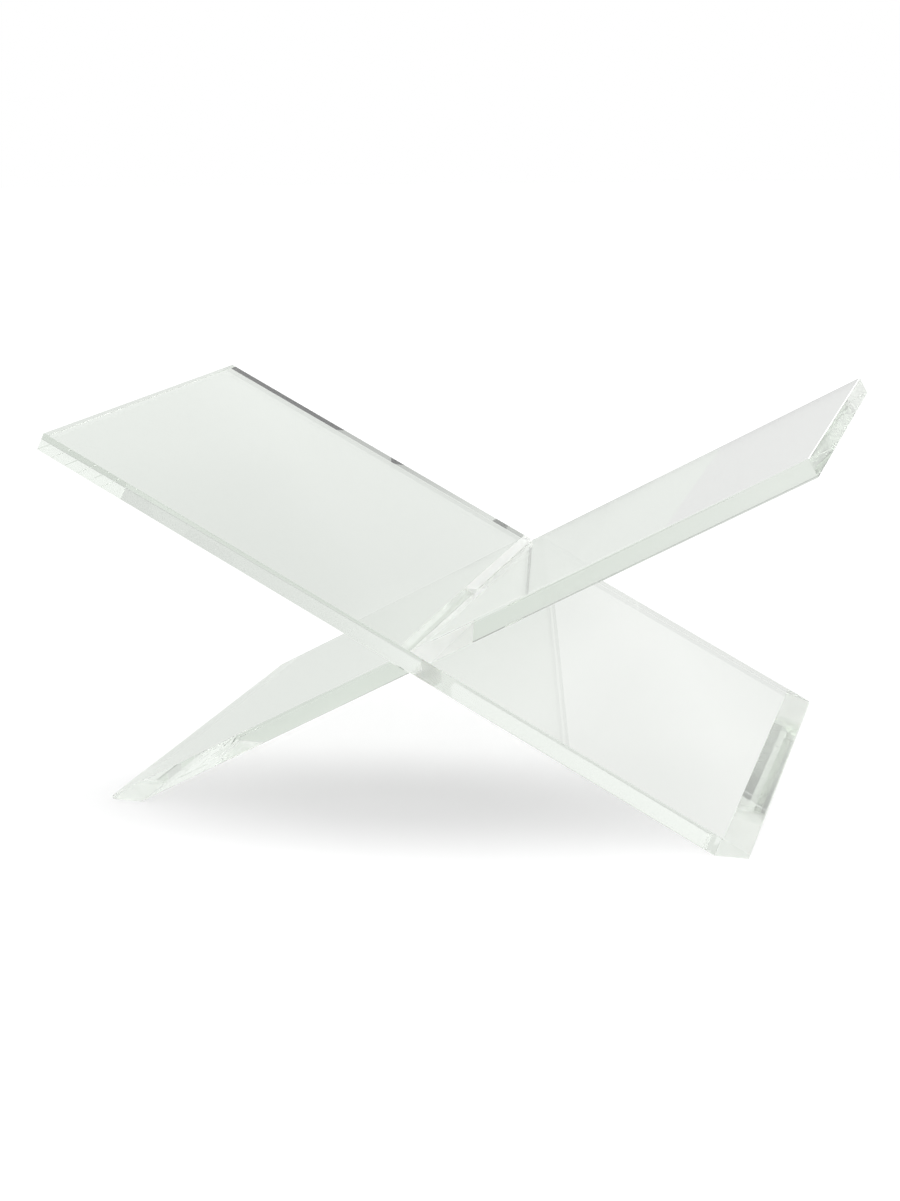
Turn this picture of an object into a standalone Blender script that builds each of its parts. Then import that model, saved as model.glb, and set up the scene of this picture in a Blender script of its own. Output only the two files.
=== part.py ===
"""Tabletop book stand: two identical clear acrylic plates that cross in half-depth slots.

Units are metres, +Z up. X runs across the open V and Y from the front edge to the back edge.
The origin is on the tabletop, straight below the crossing.

A plate is modelled in its own frame, with its origin at the crossing: X runs up its slope, Y is
square to its faces and positive on the upper face that carries the book, and Z runs to its open
slot end.
"""

import math

import bmesh
import bpy
from mathutils import Matrix

# Driving dimensions.
SHEET = 0.012
DEPTH = 0.293
SLOPE = math.radians(28.25)
CROSSING_HEIGHT = 0.1067
UPPER_ARM = 0.270
TOE_LAND = 0.0026
CHAMFER = 0.0003
PLAY = 0.0003

# The other plate crosses at twice the slope, and the slot's walls lie along its two faces.
CROSSING_ANGLE = 2 * SLOPE
SLOT_WIDTH = (SHEET + 2 * PLAY) / math.sin(CROSSING_ANGLE)
SLOT_LENGTH = (DEPTH + PLAY) / 2
CUTTER_MARGIN = 0.010

# Edges turn at least this much before they get the polished chamfer, so the shallow heel stays crisp.
CHAMFER_FROM = math.radians(35)

ACRYLIC_TINT = (0.93, 0.98, 0.95, 1.0)
ACRYLIC_IOR = 1.49
ACRYLIC_ROUGHNESS = 0.02


def clear_scene():
    for old in list(bpy.data.objects):
        bpy.data.objects.remove(old, do_unlink=True)


def new_collection(name):
    made = bpy.data.collections.new(name)
    bpy.context.scene.collection.children.link(made)
    return made


def acrylic(name):
    """Clear cast acrylic with a faint green cast."""
    material = bpy.data.materials.new(name)
    material.use_nodes = True
    shader = material.node_tree.nodes["Principled BSDF"]
    shader.inputs["Base Color"].default_value = ACRYLIC_TINT
    shader.inputs["Metallic"].default_value = 0.0
    shader.inputs["Roughness"].default_value = ACRYLIC_ROUGHNESS
    shader.inputs["IOR"].default_value = ACRYLIC_IOR
    shader.inputs["Transmission Weight"].default_value = 1.0
    return material


def along_at(height, out):
    """How far along the plate, at this offset from its middle plane, it passes this height."""
    return (height - CROSSING_HEIGHT - out * math.cos(SLOPE)) / math.sin(SLOPE)


def plate_profile():
    """The plate's side outline, from the heel up to the square top end and down to the toe."""
    half = SHEET / 2
    heel = (along_at(0, -half), -half)
    top_lower = (UPPER_ARM, -half)
    top_upper = (UPPER_ARM, half)
    land_top = (along_at(TOE_LAND, half), half)
    # The land is upright, so its foot is straight below its top.
    land_foot = (
        land_top[0] - TOE_LAND * math.sin(SLOPE),
        land_top[1] - TOE_LAND * math.cos(SLOPE),
    )
    return [heel, top_lower, top_upper, land_top, land_foot]


def extruded_mesh(name, outline, thickness):
    """A closed mesh: the outline in XY, extruded evenly to both sides of Z = 0."""
    curve = bpy.data.curves.new(name, "CURVE")
    curve.dimensions = "2D"
    curve.fill_mode = "BOTH"
    curve.extrude = thickness / 2
    spline = curve.splines.new("POLY")
    spline.points.add(len(outline) - 1)
    for point, (x, y) in zip(spline.points, outline):
        point.co = (x, y, 0, 1)
    spline.use_cyclic_u = True

    drawn = bpy.data.objects.new(name + "_outline", curve)
    bpy.context.scene.collection.objects.link(drawn)
    evaluated = drawn.evaluated_get(bpy.context.evaluated_depsgraph_get())
    mesh = bpy.data.meshes.new_from_object(evaluated)
    bpy.data.objects.remove(drawn, do_unlink=True)
    bpy.data.curves.remove(curve)
    weld_caps(mesh)
    return mesh


def weld_caps(mesh):
    """Joins the loose end caps and merges their triangles into whole faces."""
    edit = bmesh.new()
    edit.from_mesh(mesh)
    bmesh.ops.remove_doubles(edit, verts=edit.verts, dist=1e-6)
    bmesh.ops.dissolve_limit(
        edit, angle_limit=math.radians(1), verts=edit.verts, edges=edit.edges
    )
    bmesh.ops.recalc_face_normals(edit, faces=edit.faces)
    edit.to_mesh(mesh)
    edit.free()


def slot_cutter(name, cutters):
    """The leaning block that opens a plate from its front edge to mid-depth."""
    length = SLOT_LENGTH + CUTTER_MARGIN
    size = (SLOT_WIDTH, SHEET + 2 * CUTTER_MARGIN, length)
    edit = bmesh.new()
    bmesh.ops.create_cube(edit, size=1, matrix=Matrix.Diagonal((*size, 1)))
    for vert in edit.verts:
        vert.co.x -= vert.co.y / math.tan(CROSSING_ANGLE)
    mesh = bpy.data.meshes.new(name)
    edit.to_mesh(mesh)
    edit.free()
    cutter = bpy.data.objects.new(name, mesh)
    cutter.location = (0, 0, DEPTH / 2 - SLOT_LENGTH + length / 2)
    cutter.display_type = "WIRE"
    cutter.hide_render = True
    cutters.objects.link(cutter)
    return cutter


def plate(name, turn, parts, cutters):
    """One slotted plate, turned about the upright axis through the crossing."""
    body = bpy.data.objects.new(name, extruded_mesh(name, plate_profile(), DEPTH))
    body.location = (0, 0, CROSSING_HEIGHT)
    body.rotation_euler = (math.pi / 2, -SLOPE, turn)
    body.data.materials.append(acrylic(name + "_acrylic"))
    parts.objects.link(body)

    edges = body.modifiers.new("polished_edges", "BEVEL")
    edges.width = CHAMFER
    edges.segments = 1
    edges.limit_method = "ANGLE"
    edges.angle_limit = CHAMFER_FROM

    cutter = slot_cutter(name + "_slot", cutters)
    cutter.parent = body
    slot = body.modifiers.new("half_depth_slot", "BOOLEAN")
    slot.operation = "DIFFERENCE"
    slot.solver = "EXACT"
    slot.object = cutter
    return body


def main():
    clear_scene()
    parts = new_collection("book_stand")
    cutters = new_collection("book_stand_cutters")
    cutters.hide_render = True
    # Half a turn makes the second plate's slot face the first plate's slot.
    plate("right_plate", 0.0, parts, cutters)
    plate("left_plate", math.pi, parts, cutters)


main()
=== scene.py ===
"""Looks for the clear acrylic book stand: the acrylic's finish, a pale studio and the camera."""
import math
import bpy
from mathutils import Matrix, Vector


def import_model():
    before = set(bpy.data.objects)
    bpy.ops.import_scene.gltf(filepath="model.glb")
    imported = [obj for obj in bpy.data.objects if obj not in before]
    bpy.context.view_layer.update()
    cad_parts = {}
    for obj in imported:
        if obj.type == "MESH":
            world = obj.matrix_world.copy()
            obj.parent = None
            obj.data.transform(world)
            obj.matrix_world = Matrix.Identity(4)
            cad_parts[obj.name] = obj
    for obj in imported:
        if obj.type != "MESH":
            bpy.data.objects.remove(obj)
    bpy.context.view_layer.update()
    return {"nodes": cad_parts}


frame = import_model()

# Acrylic.
ACRYLIC_IOR = 1.491
ACRYLIC_TINT = (0.895, 0.912, 0.890)
EDGE_TINT = (0.872, 0.889, 0.870)
WHITISH_TINT = (0.97, 0.97, 0.96)
ABSORB_COLOR = (0.89, 0.965, 0.87, 1)
ABSORB_DENSITY = 1.0
POLISH = 0.002
SAWN_ROUGHNESS = 0.5
SAWN_CLARITY = 0.15

# The plates' depth runs along Y. A face faces a direction when the cosine between them passes FACING.
ALONG_DEPTH = (0, 1, 0)
UPRIGHT = (0, 0, 1)
FACING = 0.97

# The slot's end lies this close to mid-depth, and the feet lie this close to the table.
SLOT_END_REACH = 0.02
FOOT_REACH = 0.001

# Marks: the width of the worn nicks, and where along the depth the feet's underside turns whitish and
# rough, and how much.
WEAR_WIDTH = 0.0005
FOOT_WHITE_SPAN = (0.080, 0.108)
FOOT_WHITE_WANDER = 0.012
FOOT_WHITE_AMOUNT = 0.5

# Scales of the fine detail, in features per metre, and the noise levels where each begins and ends.
NICK_SCALE, NICK_SPAN = 60, (0.58, 0.74)
SMUDGE_SCALE, SMUDGE_SPAN = 9, (0.50, 0.74)
PATCH_SCALE, PATCH_SPAN = 6, (0.46, 0.60)
SPECK_SCALE, SPECK_SPAN = 85, (0.025, 0.045)
FOOT_WHITE_SCALE = 120
RIPPLE_SCALE = 14
SAW_SCALE = 260
HAIRLINE_ACROSS, HAIRLINE_ALONG, HAIRLINE_SPAN = 620, 5, (0.70, 0.76)
HAIRLINE_TURNS = (((0.3, 0.5, 0.35), 0.0), ((-0.2, -0.5, -0.9), 3.7))

# What each kind of mark adds to the roughness, how white it looks, and what it takes from the clearness.
SMUDGE_ROUGHNESS, HAIRLINE_ROUGHNESS, WEAR_ROUGHNESS = 0.008, 0.06, 0.05
SMUDGE_WHITE = 0.10
WEAR_HAZE, DUST_HAZE, HAIRLINE_HAZE = 0.06, 0.15, 0.02

# The relief: the height of each kind of mark, as a part of the full height.
BUMP_HEIGHT = 0.00004
BUMP_STRENGTH = 0.5
RIPPLE_RISE, SAW_RISE, HAIRLINE_DIP, WEAR_DIP = 0.5, 0.10, 0.01, 0.02
SAW_WAVER = 3.0

# Brightness of the backdrop against the sine of the elevation.
BACKDROP = (
    (0.00, 0.83), (0.14, 0.93), (0.25, 0.95), (0.305, 1.21), (0.325, 1.14), (0.34, 1.07),
    (0.37, 1.04), (0.41, 1.03), (0.44, 0.92), (0.485, 0.87), (0.52, 0.82), (0.60, 0.92),
    (0.72, 1.01), (0.90, 0.92),
)
ROOM = 0.42
SIDE_GLOW = 0.17
SIDE_GLOW_FROM = (0.12, 0.33)
SIDE_GLOW_TOP = (0.20, 0.28)

# The backdrop stands behind the stand and arches over it; in front there is only the dim room.
BACKDROP_EDGE = (0.28, 0.55)
ARCH_FROM = 0.7
ARCH_GAIN = 2.5
SEEN_BACKDROP = 1.0
SOFT_LIGHT = 2.1

# Brightness of the floor, as the acrylic sees it, against the distance from its shadiest place.
FLOOR_SHADE_MIDDLE = (-0.20, 0.42, 0)
FLOOR_SHADE = ((0.00, 0.83), (0.35, 0.86), (0.75, 0.89), (1.20, 0.88), (1.60, 0.86), (2.20, 0.83))

# The floor darkens towards the front left, by this much, between these places.
FALL_DEPTH = 0.45
FALL_X = (-0.32, -0.10)
FALL_Y = (-0.78, 0.08)

# The floor's tint, right and left, and where it turns from one to the other.
FLOOR_TINTS = ((0.99, 1.0, 0.985), (0.97, 1.0, 0.965))
FLOOR_TINT_SPAN = (-0.15, 0.05)

# How much brighter the floor is across, left to right, close behind the stand and far behind it.
SIDE_SPAN = (-0.90, 0.30)
NEAR_FADE = (-0.06, 0.06)
FAR_FROM = (0.16, 0.42)
NEAR_SIDE = (
    (-0.22, 0.97), (-0.17, 1.05), (-0.09, 1.03), (-0.03, 1.07), (0.02, 1.10), (0.07, 1.05),
    (0.30, 1.05),
)
FAR_SIDE = ((-0.90, 1.06), (-0.50, 0.985), (-0.20, 0.985), (-0.05, 1.02), (0.06, 1.045), (0.30, 1.045))

# The soft shade on the floor: its middle, turn, half length, half width, full-dark part and darkness.
SHADE_MIDDLE = (-0.022, -0.110, 0)
SHADE_TURN = math.radians(7.9)
SHADE_HALF = (0.345, 0.134)
SHADE_CORE = 0.114
SHADE_DEPTH = 0.285
FLOOR_WHITE = 0.765
FLOOR_ALBEDO = 0.22
FLOOR_SIZE = 14
FLOOR_DROP = 0.0002

# The dark cards: name, where each starts and ends on the floor, and its height.
CARDS = (
    ("dark_card_far", (-0.80, -0.82), (-0.50, -0.82), 0.09),
    ("dark_card_near", (-0.38, -0.62), (-0.26, -0.58), 0.02),
)
CARD_COLOR = (0.01, 0.01, 0.011, 1)

CAMERA_AZIMUTH = math.radians(17.49)
CAMERA_ELEVATION = math.radians(15.31)
CAMERA_ROLL = math.radians(-1.45)
CAMERA_PLACE = (0.3534, -1.1836, 0.4446)
CAMERA_LENS = 56.95
CAMERA_SENSOR = 36
CAMERA_NEAREST = 0.01

# Light crosses the clear plates many times on its way out through an edge.
BOUNCES = 64
MATT_BOUNCES = 16


def principled(name):
    material = bpy.data.materials.new(name)
    material.use_nodes = True
    tree = material.node_tree
    return material, tree, tree.nodes["Principled BSDF"]


def put(tree, socket, value):
    """Links a socket, or sets a plain value."""
    if isinstance(value, bpy.types.NodeSocket):
        tree.links.new(value, socket)
    else:
        socket.default_value = value


def node(tree, kind, links=None, **values):
    made = tree.nodes.new(kind)
    for key, value in values.items():
        setattr(made, key, value)
    for key, value in (links or {}).items():
        put(tree, made.inputs[key], value)
    return made


def calc(tree, operation, *values, clamp=False):
    """The result of a Math node."""
    made = node(tree, "ShaderNodeMath", operation=operation, use_clamp=clamp)
    for socket, value in zip(made.inputs, values):
        put(tree, socket, value)
    return made.outputs[0]


def vector_calc(tree, operation, *values, output="Vector"):
    """The result of a Vector Math node."""
    made = node(tree, "ShaderNodeVectorMath", operation=operation)
    for socket, value in zip(made.inputs, values):
        put(tree, socket, value)
    return made.outputs[output]


def dot(tree, first, second):
    return vector_calc(tree, "DOT_PRODUCT", first, second, output="Value")


def smooth(tree, value, low, high, at_low=0.0, at_high=1.0):
    """A soft step between two values."""
    links = {"Value": value, "From Min": low, "From Max": high, "To Min": at_low, "To Max": at_high}
    return node(tree, "ShaderNodeMapRange", links, interpolation_type="SMOOTHSTEP").outputs[0]


def blend(tree, factor, first, second):
    """A mix of two colours."""
    made = node(tree, "ShaderNodeMix", data_type="RGBA")
    put(tree, made.inputs["Factor"], factor)
    colors = [socket for socket in made.inputs if socket.type == "RGBA"]
    for socket, value in zip(colors, (first, second)):
        put(tree, socket, (*value, 1) if isinstance(value, tuple) else value)
    return next(socket for socket in made.outputs if socket.type == "RGBA")


def mix(tree, factor, first, second):
    """A mix of two numbers."""
    return node(tree, "ShaderNodeMix", {"Factor": factor, "A": first, "B": second}).outputs[0]


def gray(tree, level):
    return node(tree, "ShaderNodeCombineColor", {"Red": level, "Green": level, "Blue": level}).outputs[0]


def ramp(tree, value, stops):
    made = node(tree, "ShaderNodeValToRGB", {"Fac": value})
    elements = made.color_ramp.elements
    while len(elements) < len(stops):
        elements.new(0.5)
    for element, (position, level) in zip(elements, stops):
        element.position = position
        element.color = (level, level, level, 1)
    return made.outputs["Color"]


def noise(tree, place, scale, detail=2.0, distortion=0.0):
    links = {"Vector": place, "Scale": scale, "Detail": detail, "Distortion": distortion}
    return node(tree, "ShaderNodeTexNoise", links).outputs[0]


def sheet_axes(plate):
    """A plate's directions: square to its faces, up its slope, and along its depth."""
    normal = max(plate.data.polygons, key=lambda polygon: polygon.area).normal.copy()
    if normal.z < 0:
        normal.negate()
    up_slope = normal.cross(Vector(ALONG_DEPTH))
    if up_slope.z < 0:
        up_slope.negate()
    return normal, up_slope, Vector(ALONG_DEPTH)


def edge_gap(tree, place, plate):
    """On any face of the plate, the distance to the nearest of its outer edges."""
    gaps = []
    for axis in sheet_axes(plate):
        reach = [vertex.co.dot(axis) for vertex in plate.data.vertices]
        middle = (min(reach) + max(reach)) / 2
        half = (max(reach) - min(reach)) / 2
        off = calc(tree, "ABSOLUTE", calc(tree, "SUBTRACT", dot(tree, place, axis), middle))
        gaps.append(calc(tree, "SUBTRACT", half, off))
    least = calc(tree, "MINIMUM", gaps[0], gaps[1])
    most = calc(tree, "MAXIMUM", gaps[0], gaps[1])
    return calc(tree, "MINIMUM", most, calc(tree, "MAXIMUM", least, gaps[2]))


def sawn_mask(tree, plate, other):
    """The slot's end, square to the depth, and its upper wall, along the other plate's face."""
    place = node(tree, "ShaderNodeTexCoord")
    facing = calc(tree, "ABSOLUTE", dot(tree, place.outputs["Normal"], sheet_axes(other)[0]))
    wall = calc(tree, "GREATER_THAN", facing, FACING)
    outward = math.copysign(1.0, sheet_axes(plate)[1].x)
    upper = calc(tree, "GREATER_THAN", dot(tree, place.outputs["Object"], (outward, 0, 0)), 0.0)
    wall = calc(tree, "MULTIPLY", wall, upper)
    ahead = calc(tree, "ABSOLUTE", dot(tree, place.outputs["Normal"], ALONG_DEPTH))
    off_middle = calc(tree, "ABSOLUTE", dot(tree, place.outputs["Object"], ALONG_DEPTH))
    end = calc(tree, "GREATER_THAN", ahead, FACING)
    end = calc(tree, "MULTIPLY", end, calc(tree, "LESS_THAN", off_middle, SLOT_END_REACH))
    return calc(tree, "MAXIMUM", wall, end)


def whitened_foot_ends(tree):
    """The foot's underside, whitish and rough at its front and back ends."""
    place = node(tree, "ShaderNodeTexCoord")
    level = calc(tree, "ABSOLUTE", dot(tree, place.outputs["Normal"], UPRIGHT))
    low = calc(tree, "LESS_THAN", dot(tree, place.outputs["Object"], UPRIGHT), FOOT_REACH)
    down = calc(tree, "MULTIPLY", calc(tree, "GREATER_THAN", level, FACING), low)
    out = calc(tree, "ABSOLUTE", dot(tree, place.outputs["Object"], ALONG_DEPTH))
    wander = noise(tree, place.outputs["Object"], FOOT_WHITE_SCALE)
    uneven = calc(tree, "MULTIPLY_ADD", wander, FOOT_WHITE_WANDER, out)
    return calc(tree, "MULTIPLY", down, smooth(tree, uneven, *FOOT_WHITE_SPAN, 0.0, FOOT_WHITE_AMOUNT))


def scratches(tree, place, turn, shift):
    """Hairlines that all run one way, broken up along their length."""
    links = {
        "Vector": place,
        "Location": (shift, shift, shift),
        "Rotation": turn,
        "Scale": (HAIRLINE_ALONG, HAIRLINE_ACROSS, HAIRLINE_ACROSS),
    }
    stretched = node(tree, "ShaderNodeMapping", links).outputs[0]
    line = noise(tree, stretched, 1.0, detail=1.0, distortion=0.4)
    return smooth(tree, line, *HAIRLINE_SPAN)


def acrylic(name, plate, other):
    """Clear cast acrylic: polished faces and edges, a sawn slot, light wear along the edges."""
    material, tree, shader = principled(name)
    shader.inputs["IOR"].default_value = ACRYLIC_IOR
    absorb = tree.nodes.new("ShaderNodeVolumeAbsorption")
    absorb.inputs["Color"].default_value = ABSORB_COLOR
    absorb.inputs["Density"].default_value = ABSORB_DENSITY
    tree.links.new(absorb.outputs[0], tree.nodes["Material Output"].inputs["Volume"])

    place = node(tree, "ShaderNodeTexCoord").outputs["Object"]
    # The sawn slot walls, and the foot's underside made whitish and rough at its front and back ends.
    sawn = calc(tree, "MAXIMUM", sawn_mask(tree, plate, other), whitened_foot_ends(tree))
    # Small nicks along the edges, where plates knock together and books slide over.
    near_edge = smooth(tree, edge_gap(tree, place, plate), 0.0, WEAR_WIDTH, 1.0, 0.0)
    nicks = smooth(tree, noise(tree, place, NICK_SCALE, detail=4.0), *NICK_SPAN)
    wear = calc(tree, "MULTIPLY", near_edge, nicks)
    # Wiping marks, hairlines in two directions, and a little settled dust.
    cloudy = noise(tree, place, SMUDGE_SCALE, detail=4.0, distortion=1.2)
    smudge = smooth(tree, cloudy, *SMUDGE_SPAN)
    lines = calc(tree, "MAXIMUM", *(scratches(tree, place, *turn) for turn in HAIRLINE_TURNS))
    patch = smooth(tree, noise(tree, place, PATCH_SCALE, detail=1.0), *PATCH_SPAN)
    lines = calc(tree, "MULTIPLY", lines, patch)
    specks = node(tree, "ShaderNodeTexVoronoi", {"Vector": place, "Scale": SPECK_SCALE})
    dust = smooth(tree, specks.outputs["Distance"], *SPECK_SPAN, 1.0, 0.0)

    rough = calc(tree, "MULTIPLY_ADD", smudge, SMUDGE_ROUGHNESS, POLISH)
    rough = calc(tree, "MULTIPLY_ADD", lines, HAIRLINE_ROUGHNESS, rough)
    rough = calc(tree, "MULTIPLY_ADD", wear, WEAR_ROUGHNESS, rough)
    rough = calc(tree, "MAXIMUM", rough, calc(tree, "MULTIPLY", sawn, SAWN_ROUGHNESS))
    put(tree, shader.inputs["Roughness"], rough)

    cloud = calc(tree, "MULTIPLY", smudge, SMUDGE_WHITE)
    white = calc(tree, "MAXIMUM", calc(tree, "MAXIMUM", wear, sawn), calc(tree, "MAXIMUM", dust, cloud))
    # The cut front and back edges carry a little less light than the cast faces.
    normal = node(tree, "ShaderNodeTexCoord").outputs["Normal"]
    ahead = calc(tree, "ABSOLUTE", dot(tree, normal, ALONG_DEPTH))
    tint = blend(tree, calc(tree, "GREATER_THAN", ahead, FACING), ACRYLIC_TINT, EDGE_TINT)
    put(tree, shader.inputs["Base Color"], blend(tree, white, tint, WHITISH_TINT))
    clear = calc(tree, "MULTIPLY_ADD", sawn, SAWN_CLARITY - 1, 1.0)
    clear = calc(tree, "MULTIPLY_ADD", wear, -WEAR_HAZE, clear)
    clear = calc(tree, "MULTIPLY_ADD", dust, -DUST_HAZE, clear)
    clear = calc(tree, "MULTIPLY_ADD", lines, -HAIRLINE_HAZE, clear, clamp=True)
    put(tree, shader.inputs["Transmission Weight"], clear)

    # The slow ripple of cast sheet, the hairlines, and the saw's fine cuts across the slot.
    links = {"Vector": place, "Scale": SAW_SCALE, "Distortion": SAW_WAVER}
    saw = node(tree, "ShaderNodeTexWave", links, bands_direction="Y").outputs["Fac"]
    height = calc(tree, "MULTIPLY", noise(tree, place, RIPPLE_SCALE, detail=1.0), RIPPLE_RISE)
    height = calc(tree, "MULTIPLY_ADD", lines, -HAIRLINE_DIP, height)
    height = calc(tree, "MULTIPLY_ADD", wear, -WEAR_DIP, height)
    height = calc(tree, "MULTIPLY_ADD", calc(tree, "MULTIPLY", sawn, saw), SAW_RISE, height)
    links = {"Strength": BUMP_STRENGTH, "Distance": BUMP_HEIGHT, "Height": height}
    bump = node(tree, "ShaderNodeBump", links)
    put(tree, shader.inputs["Normal"], bump.outputs[0])
    return material


def after_diffuse(tree):
    """1 for light that a matt surface, such as the floor or a sawn wall, gathers."""
    path = node(tree, "ShaderNodeLightPath")
    bounced = calc(tree, "GREATER_THAN", path.outputs["Diffuse Depth"], 0.5)
    return calc(tree, "MAXIMUM", bounced, path.outputs["Is Diffuse Ray"])


def world():
    made = bpy.data.worlds.new("studio")
    bpy.context.scene.world = made
    made.use_nodes = True
    tree = made.node_tree
    direction = node(tree, "ShaderNodeTexCoord").outputs["Generated"]
    split = node(tree, "ShaderNodeSeparateXYZ", {0: direction})
    side, ahead, height = split.outputs["X"], split.outputs["Y"], split.outputs["Z"]
    back = ramp(tree, height, BACKDROP)
    above = calc(tree, "MAXIMUM", calc(tree, "SUBTRACT", height, ARCH_FROM), 0.0)
    arch = calc(tree, "MULTIPLY", above, ARCH_GAIN)
    lit = smooth(tree, calc(tree, "ADD", ahead, arch), *BACKDROP_EDGE)
    level = calc(tree, "MULTIPLY_ADD", calc(tree, "SUBTRACT", back, ROOM), lit, ROOM)
    to_right = smooth(tree, side, *SIDE_GLOW_FROM)
    low = smooth(tree, height, *SIDE_GLOW_TOP, 1.0, 0.0)
    glow = calc(tree, "MULTIPLY", to_right, low)
    level = calc(tree, "MULTIPLY", level, calc(tree, "MULTIPLY_ADD", glow, SIDE_GLOW, 1.0))
    # Seen directly the backdrop is plain white, and the floor is lit evenly.
    seen = node(tree, "ShaderNodeLightPath").outputs["Is Camera Ray"]
    level = mix(tree, seen, level, SEEN_BACKDROP)
    level = mix(tree, after_diffuse(tree), level, SOFT_LIGHT)
    put(tree, tree.nodes["Background"].inputs["Strength"], level)
    tree.nodes["Background"].inputs["Color"].default_value = (1, 1, 1, 1)


def across(tree, x, stops):
    """A brightness that changes from left to right."""
    low, high = SIDE_SPAN
    place = calc(tree, "DIVIDE", calc(tree, "SUBTRACT", x, low), high - low)
    return ramp(tree, place, [((at - low) / (high - low), level) for at, level in stops])


def floor_glow(tree, place):
    """The floor as the acrylic sees it: a pool of shade behind, and falling away front left."""
    split = node(tree, "ShaderNodeSeparateXYZ", {0: place})
    x, y = split.outputs["X"], split.outputs["Y"]
    far = FLOOR_SHADE[-1][0]
    off = vector_calc(tree, "DISTANCE", place, FLOOR_SHADE_MIDDLE, output="Value")
    stops = [(distance / far, level) for distance, level in FLOOR_SHADE]
    shade = ramp(tree, calc(tree, "DIVIDE", off, far), stops)
    fall_y = smooth(tree, y, *FALL_Y, 1.0, 0.0)
    fall_x = smooth(tree, x, *FALL_X, 1.0, 0.0)
    fall = calc(tree, "MULTIPLY", fall_y, fall_x)
    level = calc(tree, "MULTIPLY", shade, calc(tree, "MULTIPLY_ADD", fall, -FALL_DEPTH, 1.0))
    near = mix(tree, smooth(tree, y, *NEAR_FADE), 1.0, across(tree, x, NEAR_SIDE))
    side = mix(tree, smooth(tree, y, *FAR_FROM), near, across(tree, x, FAR_SIDE))
    level = calc(tree, "MULTIPLY", level, side)
    tint = blend(tree, smooth(tree, x, *FLOOR_TINT_SPAN, 1.0, 0.0), *FLOOR_TINTS)
    level = mix(tree, after_diffuse(tree), level, SOFT_LIGHT)
    return node(tree, "ShaderNodeEmission", {"Color": tint, "Strength": level}).outputs[0]


def floor():
    bpy.ops.mesh.primitive_plane_add(size=FLOOR_SIZE, location=(0, 0, -FLOOR_DROP))
    plane = bpy.context.object
    plane.name = "studio_floor"
    material, tree, shader = principled("studio_floor")
    shader.inputs["Roughness"].default_value = 1.0
    shader.inputs["Specular IOR Level"].default_value = 0.0
    place = node(tree, "ShaderNodeTexCoord").outputs["Object"]
    # The soft shade under the stand is an ellipse, on top of the shade that the stand itself throws.
    links = {
        "Vector": place,
        "Location": SHADE_MIDDLE,
        "Rotation": (0, 0, SHADE_TURN),
        "Scale": (*SHADE_HALF, 1),
    }
    offset = node(tree, "ShaderNodeMapping", links, vector_type="TEXTURE").outputs[0]
    away = vector_calc(tree, "LENGTH", offset, output="Value")
    level = smooth(tree, away, SHADE_CORE, 1.0, 1 - SHADE_DEPTH, 1.0)
    put(tree, shader.inputs["Base Color"], gray(tree, calc(tree, "MULTIPLY", level, FLOOR_ALBEDO)))
    put(tree, shader.inputs["Emission Color"], gray(tree, calc(tree, "MULTIPLY", level, FLOOR_WHITE)))
    shader.inputs["Emission Strength"].default_value = 1.0
    path = node(tree, "ShaderNodeLightPath")
    links = {0: path.outputs["Is Camera Ray"], 1: floor_glow(tree, place), 2: shader.outputs[0]}
    split = node(tree, "ShaderNodeMixShader", links)
    tree.links.new(split.outputs[0], tree.nodes["Material Output"].inputs["Surface"])
    plane.data.materials.append(material)


def cards():
    """Two dark cards out of view, front left, that give the clear edges their dark lines."""
    material, tree, shader = principled("dark_card")
    shader.inputs["Base Color"].default_value = CARD_COLOR
    shader.inputs["Roughness"].default_value = 1.0
    shader.inputs["Specular IOR Level"].default_value = 0.0
    for name, start, end, height in CARDS:
        mesh = bpy.data.meshes.new(name)
        corners = [(*start, 0), (*end, 0), (*end, height), (*start, height)]
        mesh.from_pydata(corners, [], [(0, 1, 2, 3)])
        card = bpy.data.objects.new(name, mesh)
        mesh.materials.append(material)
        bpy.context.scene.collection.objects.link(card)
        card.visible_camera = False
        card.visible_diffuse = False
        card.visible_shadow = False


def camera():
    """The camera, in front and to the right of the stand, looking down on it."""
    forward = Vector((
        -math.sin(CAMERA_AZIMUTH) * math.cos(CAMERA_ELEVATION),
        math.cos(CAMERA_AZIMUTH) * math.cos(CAMERA_ELEVATION),
        -math.sin(CAMERA_ELEVATION),
    ))
    level = forward.cross(Vector(UPRIGHT)).normalized()
    upright = level.cross(forward)
    right = level * math.cos(CAMERA_ROLL) + upright * math.sin(CAMERA_ROLL)
    up = upright * math.cos(CAMERA_ROLL) - level * math.sin(CAMERA_ROLL)
    data = bpy.data.cameras.new("camera")
    data.sensor_fit = "VERTICAL"
    data.sensor_height = CAMERA_SENSOR
    data.lens = CAMERA_LENS
    data.clip_start = CAMERA_NEAREST
    made = bpy.data.objects.new("camera", data)
    bpy.context.scene.collection.objects.link(made)
    turn = Matrix((right, up, -forward)).transposed().to_4x4()
    made.matrix_world = Matrix.Translation(CAMERA_PLACE) @ turn
    bpy.context.scene.camera = made


left, right = frame["nodes"]["left_plate"], frame["nodes"]["right_plate"]
for plate, other in ((left, right), (right, left)):
    plate.data.materials.clear()
    plate.data.materials.append(acrylic("clear_acrylic_" + plate.name, plate, other))
    for polygon in plate.data.polygons:
        polygon.use_smooth = False
world()
floor()
cards()
camera()
scene = bpy.context.scene
scene.view_settings.view_transform = "Standard"
scene.cycles.max_bounces = BOUNCES
scene.cycles.diffuse_bounces = MATT_BOUNCES
scene.cycles.transmission_bounces = BOUNCES
scene.cycles.glossy_bounces = BOUNCES
